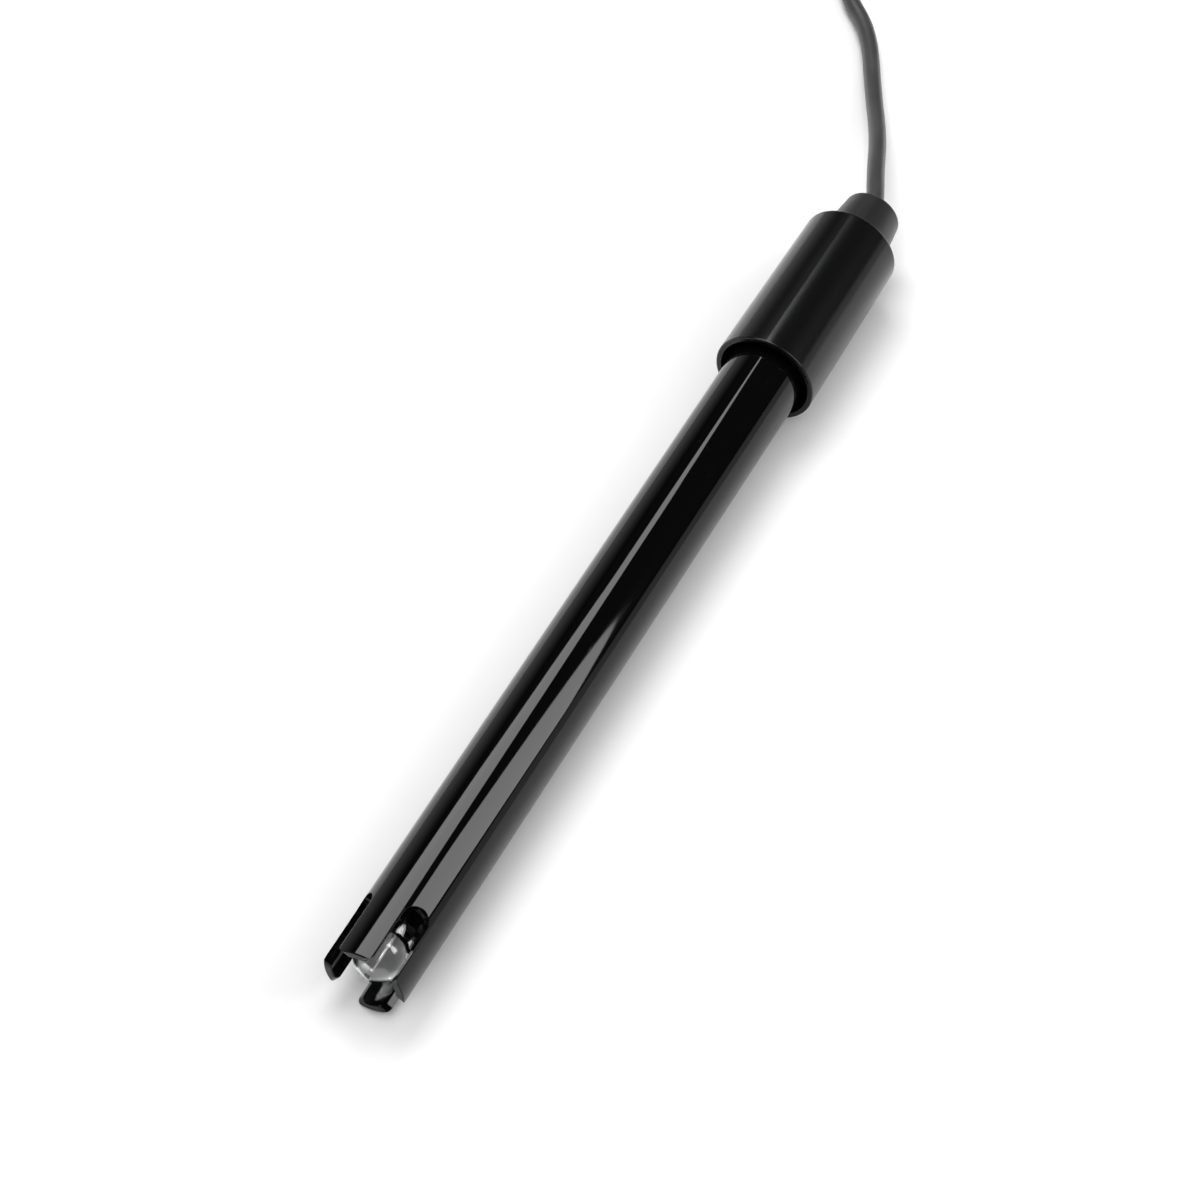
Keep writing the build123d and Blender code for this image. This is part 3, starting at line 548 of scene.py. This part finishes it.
@dataclass(frozen=True)
class CastPlastic(Finish):
    """Plain moulded, cast or shrunk plastic, or fired ceramic, in one tone."""

    name: str
    colour: Triple
    second: Triple
    satin: float = 0.4
    grain: float = 4200.0
    depth: float = 0.000012
    speckle: float = 0.5
    edge: float = 0.0001

    def shade(self, graph: Graph) -> bpy.types.Material:
        """A grain in colour, gloss and relief."""
        at = graph.place()
        grain = graph.noise(at, self.grain, 3.0, 0.65)
        cloud = graph.noise(at, 420.0, 3.0).step(0.35, 0.75)
        return graph.finish(
            Base_Color=graph.mix(
                cloud * 0.5 + grain.step(0.5, 0.75) * self.speckle, self.colour, self.second
            ),
            Roughness=self.satin + grain * 0.15,
            IOR=1.5,
            Normal=graph.relief(grain, self.depth, 0.5, self.edge),
        )


@dataclass(frozen=True)
class RidgedStrap(Finish):
    """Nylon of a cable tie, with the ratchet's fine teeth across its strap."""

    name: str = "tie_nylon_black"
    colour: Triple = (0.012, 0.012, 0.012)
    second: Triple = (0.026, 0.026, 0.026)
    centre: Triple = (0.1567, 0.0038, 0.0042)
    pitch: float = 0.0009

    def shade(self, graph: Graph) -> bpy.types.Material:
        """Teeth that follow the strap round, and a grain."""
        at = graph.place()
        grain = graph.noise(at, 3300.0, 2.0, 0.6)
        round_it = graph.node(
            "TexWave",
            {"wave_type": "BANDS", "bands_direction": "DIAGONAL", "wave_profile": "SAW"},
            {"Vector": at - self.centre, "Scale": 0.16 / self.pitch, "Distortion": 0.0},
            "Fac",
        )
        return graph.finish(
            Base_Color=graph.mix(grain, self.colour, self.second),
            Roughness=0.34 + grain * 0.16,
            IOR=1.53,
            Normal=graph.relief(round_it * 0.8 + grain * 0.2, 0.00005, 0.5, 0.0001),
        )


@dataclass(frozen=True)
class BraidedWire(Finish):
    """Tinned copper braid, twisted into a tail."""

    name: str = "tinned_braid"
    colour: Triple = (0.62, 0.55, 0.47)
    # Painted shade: the dark colour put into the gaps between the strands.
    gap_shade: Triple = (0.10, 0.07, 0.05)
    strand: float = 0.00014

    def shade(self, graph: Graph) -> bpy.types.Material:
        """Two sets of strands that cross, with shade painted dark into the gaps between them."""
        at = graph.place()
        sets = [
            graph.node(
                "TexWave",
                {"wave_type": "BANDS", "bands_direction": "X", "wave_profile": "SIN"},
                {
                    "Vector": graph.node(
                        "Mapping", {}, {"Vector": at, "Rotation": (0.0, lean, turn)}
                    ),
                    "Scale": 0.32 / self.strand,
                    "Distortion": 0.4,
                },
                "Fac",
            )
            for lean, turn in ((0.5, 0.7), (-0.5, -0.7))
        ]
        weave = sets[0] * 0.5 + sets[1] * 0.5
        return graph.finish(
            # The gaps between the strands are painted dark as shade.
            Base_Color=graph.mix(weave.step(0.15, 0.6), self.gap_shade, self.colour),
            Metallic=1.0,
            Roughness=0.42 - weave * 0.14,
            Normal=graph.relief(weave, 0.00004, 0.8),
        )


FINISHES: dict[Slot, Finish] = {
    Slot.TUBE_BLACK: PolishedTube(),
    Slot.CAP_BLACK: SatinCap(),
    Slot.RELIEF_RUBBER: MouldedRubber(),
    Slot.CABLE_JACKET: ExtrudedJacket(),
    Slot.CLEAR_GLASS: BlownGlass(),
    Slot.BUFFER: ClearFilling("inner_buffer_clear", (0.99, 0.995, 0.995), (0.97, 0.98, 0.98)),
    Slot.GEL: ClearFilling(
        "reference_gel_cloudy", (0.90, 0.88, 0.80), (0.80, 0.78, 0.70), 1.36, 0.6, 0.5
    ),
    Slot.SILVER: DrawnWire("chlorided_silver", (0.80, 0.78, 0.74), (0.20, 0.17, 0.17)),
    Slot.SPRING_STEEL: DrawnWire("spring_steel", (0.56, 0.55, 0.54), (0.34, 0.33, 0.32), 0.2),
    Slot.GOLD: TurnedMetal("gold_plate", (0.94, 0.68, 0.28), (0.78, 0.50, 0.18), 0.12),
    Slot.NICKEL: TurnedMetal("nickel_plate", (0.71, 0.69, 0.65), (0.50, 0.48, 0.45)),
    Slot.SILICONE: CastPlastic(
        "black_silicone", (0.006, 0.006, 0.006), (0.014, 0.014, 0.014), 0.45
    ),
    Slot.SLEEVING: CastPlastic(
        "shrink_sleeving", (0.010, 0.010, 0.010), (0.022, 0.022, 0.022), 0.4
    ),
    Slot.CERAMIC: CastPlastic(
        "porous_ceramic", (0.80, 0.79, 0.76), (0.56, 0.54, 0.50), 0.75, 6500.0, 0.00004, 0.8
    ),
    Slot.WHITE_MOULDING: CastPlastic(
        "white_fluoroplastic", (0.82, 0.82, 0.80), (0.74, 0.74, 0.72), 0.34
    ),
    Slot.POTTING: CastPlastic(
        "potting_resin", (0.012, 0.011, 0.010), (0.030, 0.027, 0.024), 0.2, 1500.0
    ),
    Slot.CORE_INSULATION: CastPlastic(
        "core_polyethylene", (0.72, 0.73, 0.74), (0.60, 0.61, 0.63), 0.32
    ),
    Slot.BRAID: BraidedWire(),
    Slot.TIE_NYLON: RidgedStrap(),
}


class PaintShop:
    """Makes each finish once and puts it on the pieces."""

    def __init__(self, nodes: dict[str, bpy.types.Object]) -> None:
        """Keeps the CAD nodes by name."""
        self.nodes = nodes
        self._made: dict[Finish, bpy.types.Material] = {}

    def material(self, finish: Finish) -> bpy.types.Material:
        """The material of a finish."""
        if finish not in self._made:
            self._made[finish] = finish.material()
        return self._made[finish]

    def node(self, name: str, slot: Slot, finish: Finish | None = None) -> None:
        """Dresses a CAD node.

        Args:
            name: The node's name.
            slot: The record's slot that it takes its finish from.
            finish: A finish of its own, where it needs one.
        """
        target = self.nodes[name]
        for one in target.material_slots:
            one.material = self.material(finish or FINISHES[slot])

    def piece(self, target: bpy.types.Object, slot: Slot, body: str = BODY) -> None:
        """Dresses a piece made here and puts it on its body.

        Args:
            target: The piece.
            slot: The record's slot that it takes its finish from.
            body: The CAD body that carries it.
        """
        target.data.materials.clear()
        target.data.materials.append(self.material(FINISHES[slot]))
        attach(target, body)


# --- Sub-assemblies ---


@dataclass
class SubAssembly:
    """Some pieces of the object that belong together."""

    finishes: dict[str, Slot] = field(default_factory=dict)

    def build(self, shop: PaintShop) -> None:
        """Dresses every node of the sub-assembly."""
        for name, slot in self.finishes.items():
            shop.node(name, slot)
            LOG.info("%s dressed in %s", name, slot.value)


@dataclass
class ReferenceTube(SubAssembly):
    """The black tube with its slotted guard, and what stands between it and the stem."""

    finishes: dict[str, Slot] = field(
        default_factory=lambda: {
            "body_tube": Slot.TUBE_BLACK,
            "stem_seal": Slot.SILICONE,
            "reference_junction": Slot.CERAMIC,
            "reference_gel": Slot.GEL,
            "reference_wire": Slot.SILVER,
            "centring_bush": Slot.WHITE_MOULDING,
        }
    )


@dataclass
class GlassElectrode(SubAssembly):
    """The blown bulb on its stem, and what the stem holds."""

    finishes: dict[str, Slot] = field(
        default_factory=lambda: {
            "glass_electrode": Slot.CLEAR_GLASS,
            "inner_buffer": Slot.BUFFER,
            "inner_wire": Slot.SILVER,
            "wire_sleeve": Slot.SLEEVING,
            "stem_stopper": Slot.SILICONE,
        }
    )
    clear: tuple[str, ...] = ("glass_electrode", "inner_buffer")

    def build(self, shop: PaintShop) -> None:
        """Dresses the glass and lets the light through it on to the table."""
        super().build(shop)
        for name in self.clear:
            shop.nodes[name].visible_shadow = False


@dataclass
class CapAndRelief(SubAssembly):
    """The cap with its potting and joints, and the rubber strain relief."""

    finishes: dict[str, Slot] = field(
        default_factory=lambda: {
            "cap": Slot.CAP_BLACK,
            "cap_potting": Slot.POTTING,
            "strain_relief": Slot.RELIEF_RUBBER,
            "cable_inner_end": Slot.CABLE_JACKET,
            "coaxial_core": Slot.CORE_INSULATION,
            "core_joint_sleeve": Slot.SLEEVING,
            "shield_tail": Slot.BRAID,
            "shield_joint_sleeve": Slot.SLEEVING,
        }
    )


@dataclass
class BayonetPlug(SubAssembly):
    """The coaxial plug at the end of the cable."""

    finishes: dict[str, Slot] = field(
        default_factory=lambda: {
            "plug_body": Slot.NICKEL,
            "coupling_nut": Slot.NICKEL,
            "thrust_washer": Slot.NICKEL,
            "crimp_ferrule": Slot.NICKEL,
            "wave_washer": Slot.SPRING_STEEL,
            "retaining_ring": Slot.SPRING_STEEL,
            "contact_pin": Slot.GOLD,
            "plug_insulator": Slot.WHITE_MOULDING,
            "plug_gasket": Slot.SILICONE,
            "cable_plug_end": Slot.CABLE_JACKET,
            "plug_core": Slot.CORE_INSULATION,
            "plug_boot": Slot.RELIEF_RUBBER,
        }
    )


@dataclass
class Cable(SubAssembly):
    """The whole cable on one line: from the strain relief over the table, round its coil, to the plug."""

    finishes: dict[str, Slot] = field(default_factory=lambda: {"cable_tie": Slot.TIE_NYLON})
    diameter: float = 0.0028
    length: float = 0.99
    coil_centre: tuple[float, float] = (0.1704, 0.0134)
    laps: float = 8 + 10 / 360
    points_a_lap: int = 18
    near: float = 0.0140
    middle: float = 0.0168
    far: float = 0.0196
    low: float = 0.0014
    level: float = 0.0042
    high: float = 0.0070
    shift: float = 0.06

    def outgoing(self) -> list[Triple]:
        """The route from the bell mouth of the relief down to the coil."""
        return [
            (0.076006, 0.0, 0.008419),
            (0.080205, 0.0, 0.008485),
            (0.0886, 0.0038, 0.0075),
            (0.0987, 0.0078, 0.0050),
            (0.1108, 0.0141, 0.0022),
            (0.1246, 0.0211, 0.0014),
            (0.1314, 0.0288, 0.0014),
            (0.1474, 0.0348, 0.0014),
            (0.1604, 0.0340, 0.0014),
        ]

    def tail(self) -> list[Triple]:
        """The route from the top of the coil to the boot of the plug."""
        return [
            (0.1829, 0.0311, 0.0066),
            (0.1929, 0.0292, 0.0037),
            (0.2024, 0.0273, 0.0016),
            (0.210757, 0.025195, 0.001552),
            (0.2168, 0.0238, 0.002658),
        ]

    def cells(self) -> list[tuple[float, float]]:
        """Radius and height of the turns, in the order that the cable fills them."""
        return [
            (self.far, self.low),
            (self.middle, self.low),
            (self.near, self.low),
            (self.near, self.level),
            (self.near, self.high),
            (self.middle, self.high),
            (self.middle, self.level),
            (self.far, self.level),
            (self.far, self.high),
        ]

    def turns(self) -> list[Triple]:
        """The coil: clockwise from its +Y side, each turn easing over to the next one's place."""
        cells = self.cells()
        steps = round(self.laps * self.points_a_lap)
        points = []
        for step in range(steps + 1):
            share = step / steps
            place = share * len(cells)
            here = min(max(floor(place + self.shift), 1), len(cells) - 1)
            ease = min(max((place - here + self.shift) / (2 * self.shift), 0.0), 1.0)
            ease = ease * ease * (3 - 2 * ease)
            (r0, z0), (r1, z1) = cells[here - 1], cells[here]
            radius = r0 + (r1 - r0) * ease
            turn = pi / 2 - share * self.laps * 2 * pi
            points.append(
                (
                    self.coil_centre[0] + radius * cos(turn),
                    self.coil_centre[1] + radius * sin(turn),
                    z0 + (z1 - z0) * ease,
                )
            )
        return points

    def build(self, shop: PaintShop) -> None:
        super().build(shop)
        line = self.outgoing() + self.turns() + self.tail()
        curve = bpy.data.curves.new("cable_line", "CURVE")
        curve.dimensions = "3D"
        curve.resolution_u = 8
        curve.bevel_depth = self.diameter / 2
        curve.bevel_resolution = 6
        spline = curve.splines.new("NURBS")
        spline.points.add(len(line) - 1)
        for point, (x, y, z) in zip(spline.points, line):
            point.co = (x, y, z, 1.0)
        spline.order_u = 3
        spline.use_endpoint_u = True
        cable = bpy.data.objects.new("cable_run", curve)
        bpy.context.scene.collection.objects.link(cable)
        shop.piece(cable, Slot.CABLE_JACKET)
        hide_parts("cable", "cable_coil", "cable_tail")
        LOG.info("cable laid through %d points", len(line))


# --- Table, light and camera ---


@dataclass
class Table:
    """A plain pale table."""

    radius: float = 3.0
    drop: float = 0.00002
    colour: Triple = (0.93, 0.93, 0.93)
    second: Triple = (0.915, 0.915, 0.915)

    def build(self) -> None:
        """Makes the table top."""
        mesh = bpy.data.meshes.new("table")
        shape = bmesh.new()
        bmesh.ops.create_circle(
            shape,
            cap_ends=True,
            segments=96,
            radius=self.radius,
            matrix=Matrix.Translation((0.0, 0.0, -self.drop)),
        )
        shape.to_mesh(mesh)
        shape.free()
        graph = Graph("pale_table")
        tone = graph.noise(graph.place(), 9.0, 3.0)
        mesh.materials.append(
            graph.finish(
                Base_Color=graph.mix(tone, self.colour, self.second),
                Roughness=0.75,
                Specular_IOR_Level=0.2,
            )
        )
        top = bpy.data.objects.new("table", mesh)
        bpy.context.scene.collection.objects.link(top)


@dataclass(frozen=True)
class Softbox:
    """A flat rectangular light or reflector card, given by one corner and its two sides."""

    name: str
    corner: Triple
    first: Triple
    second: Triple
    strength: float
    mirrored: bool = True
    fades: float = 0.0

    def build(self) -> None:
        """Makes the card, hidden from the camera itself."""
        mesh = bpy.data.meshes.new(self.name)
        shape = bmesh.new()
        corner, first, second = Vector(self.corner), Vector(self.first), Vector(self.second)
        ring = (corner, corner + first, corner + first + second, corner + second)
        shape.faces.new([shape.verts.new(point) for point in ring])
        shape.to_mesh(mesh)
        shape.free()
        graph = Graph(self.name)
        colour: Value = (1.0, 1.0, 1.0)
        if self.fades:
            height = graph.place().dot((0.0, 0.0, 1.0 / self.fades))
            colour = graph.mix(height.step(1.0, 0.0), (0.0, 0.0, 0.0), (1.0, 1.0, 1.0))
        mesh.materials.append(graph.glow(colour, self.strength))
        card = bpy.data.objects.new(self.name, mesh)
        bpy.context.scene.collection.objects.link(card)
        card.visible_camera = False
        card.visible_glossy = self.mirrored
        card.visible_transmission = self.mirrored


@dataclass
class Studio:
    """Soft light from above and both sides."""

    softboxes: tuple[Softbox, ...] = (
        Softbox(
            "overhead_softbox", (0.91, 0.265, 1.0), (-0.40, 0.64, 0.0), (-0.53, -0.33, 0.0), 6.0
        ),
        Softbox(
            "side_strip_light", (0.64, -1.0, 0.35), (1.32, 0.0, 3.12), (-0.46, 0.0, 0.19), 6.0
        ),
        Softbox("side_card", (-1.0, -1.0, 0.0), (2.4, 0.0, 0.0), (0.0, 0.0, 0.30), 0.6),
        Softbox("far_wall", (-1.5, 1.0, 0.0), (4.5, 0.0, 0.0), (0.0, 0.0, 1.1), 0.55, fades=1.0),
        Softbox(
            "main_softbox",
            (-1.6, -1.45, 1.3),
            (3.2, 0.0, 0.0),
            (0.0, 3.2, 0.0),
            1.12,
            mirrored=False,
        ),
    )
    ambient: float = 0.02

    def build(self) -> None:
        """Sets up the lights and the surroundings."""
        for softbox in self.softboxes:
            softbox.build()
        world = bpy.data.worlds.new("studio")
        world.use_nodes = True
        tree = world.node_tree
        tree.nodes["Background"].inputs["Color"].default_value = (1.0, 1.0, 1.0, 1.0)
        tree.nodes["Background"].inputs["Strength"].default_value = self.ambient
        bpy.context.scene.world = world
        bpy.context.scene.view_settings.view_transform = "Standard"


@dataclass
class PhotoCamera:
    """The camera that took the picture: nearly a top view, through a long lens."""

    place: Triple = (-0.32626, -0.16206, 0.42825)
    right: Triple = (0.458113, -0.888894, 0.0)
    ahead: Triple = (0.57604772, 0.29687987, -0.7615979)
    lens: float = 118.02

    def build(self) -> None:
        """Places the camera and makes it the scene's."""
        data = bpy.data.cameras.new("camera")
        data.lens = self.lens
        data.sensor_width = 36.0
        data.clip_start, data.clip_end = 0.02, 20.0
        camera = bpy.data.objects.new("camera", data)
        right, ahead = Vector(self.right), Vector(self.ahead)
        turn = Matrix((right, right.cross(ahead), -ahead)).transposed()
        camera.matrix_world = Matrix.Translation(self.place) @ turn.to_4x4()
        bpy.context.scene.collection.objects.link(camera)
        bpy.context.scene.camera = camera


def main(frame: dict[str, Any]) -> None:
    """Builds the scene in order.
    """
    logging.basicConfig(level=logging.INFO, format="%(name)s: %(message)s")
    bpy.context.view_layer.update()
    PhotoCamera().build()
    shop = PaintShop(frame["nodes"])
    for part in (Cable(), ReferenceTube(), GlassElectrode(), CapAndRelief(), BayonetPlug()):
        part.build(shop)
        LOG.info("%s is ready", type(part).__name__)
    Table().build()
    Studio().build()


if __name__ == "__main__":
    main(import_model())
